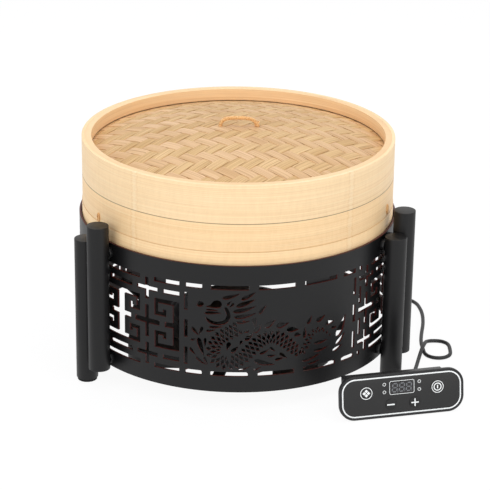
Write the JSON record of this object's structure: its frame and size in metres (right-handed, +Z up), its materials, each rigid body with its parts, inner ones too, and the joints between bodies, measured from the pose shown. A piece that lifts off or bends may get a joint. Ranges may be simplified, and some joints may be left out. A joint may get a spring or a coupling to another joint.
{
  "type": "dumpling steamer",
  "caption": "Table-top dumpling steamer: a bamboo basket and woven lid stand in a laser-cut black steel drum over a water pan and heater, with a wired control panel.",
  "frame": {"origin": "on the drum's axis, at the underside of the tray's disc, which lies on the table", "axes": "+Z up along the drum's axis, -Y to the front, where the dragon panel is, +X to the side where the control panel lies"},
  "size_m": [0.3913, 0.3793, 0.2512],
  "materials": {
    "black_coat": "satin black powder coat",
    "tray_steel": "matt black coat",
    "hot_plate_metal": "matt cast plate",
    "pan_steel": "brushed",
    "black_rubber": "matt",
    "bamboo_hoop": "smooth bamboo veneer",
    "bamboo_inner": "plain bamboo",
    "bamboo_mat": "woven bamboo strip",
    "rattan": "rattan",
    "panel_plastic": "matt black plastic",
    "panel_film": "matt dark grey film",
    "panel_line": "pale printed line",
    "window": "smoked window",
    "module": "display block",
    "lamp": "unlit lamp",
    "board": "green board",
    "switch": "tact switch",
    "clip_steel": "spring steel",
    "cord_jacket": "matt jacket"
  },
  "bodies": {
    "base": {"ring_housing": "black_coat", "shelf_brackets": "black_coat", "post_standoffs": "black_coat", "post_feet": "black_rubber", "left_floor_post": "black_coat", "left_raised_post": "black_coat", "right_floor_post": "black_coat", "right_raised_post": "black_coat", "rear_floor_post": "black_coat", "rear_raised_post": "black_coat", "spider_tray": "tray_steel", "unit_base": "tray_steel", "unit_cover": "tray_steel", "hot_plate": "hot_plate_metal", "unit_feet": "black_rubber", "power_box": "tray_steel", "power_box_lid": "tray_steel", "cord_gland": "black_rubber", "mains_gland": "black_rubber", "panel_bezel": "panel_plastic", "panel_line": "panel_line", "panel_film": "panel_film", "display_window": "window", "display_module": "module", "indicator_lamps": "lamp", "circuit_board": "board", "key_switches": "switch", "panel_box": "panel_plastic", "panel_clips": "clip_steel", "panel_gland": "black_rubber", "control_cord": "cord_jacket"},
    "pan": {"water_pan": "pan_steel"},
    "basket": {"basket_hoop": "bamboo_hoop", "basket_band": "bamboo_hoop", "basket_liner": "bamboo_inner", "basket_rails": "bamboo_inner", "basket_slats": "bamboo_inner"},
    "lid": {"lid_hoop": "bamboo_hoop", "lid_liner": "bamboo_inner", "lid_mat": "bamboo_mat", "lid_battens": "bamboo_inner", "lid_handle": "rattan"},
    "menu_button": {"menu_key": "panel_film"},
    "power_button": {"power_key": "panel_film"},
    "minus_button": {"minus_key": "panel_film"},
    "plus_button": {"plus_key": "panel_film"}
  },
  "joints": [
    {"name": "pan_lift", "type": "slide", "parent": "base", "child": "pan", "axis": [0, 0, 1], "range_m": [0, 0.06]},
    {"name": "basket_lift", "type": "slide", "parent": "base", "child": "basket", "axis": [0, 0, 1], "range_m": [0, 0.25]},
    {"name": "lid_lift", "type": "slide", "parent": "basket", "child": "lid", "axis": [0, 0, 1], "range_m": [0, 0.15]},
    {"name": "menu_press", "type": "slide", "parent": "base", "child": "menu_button", "axis": [-0.2451, 0.9547, -0.1685], "range_m": [0, 0.0005], "stiffness_N_per_m": 400},
    {"name": "power_press", "type": "slide", "parent": "base", "child": "power_button", "axis": [-0.2451, 0.9547, -0.1685], "range_m": [0, 0.0005], "stiffness_N_per_m": 400},
    {"name": "minus_press", "type": "slide", "parent": "base", "child": "minus_button", "axis": [-0.2451, 0.9547, -0.1685], "range_m": [0, 0.0005], "stiffness_N_per_m": 400},
    {"name": "plus_press", "type": "slide", "parent": "base", "child": "plus_button", "axis": [-0.2451, 0.9547, -0.1685], "range_m": [0, 0.0005], "stiffness_N_per_m": 400}
  ]
}
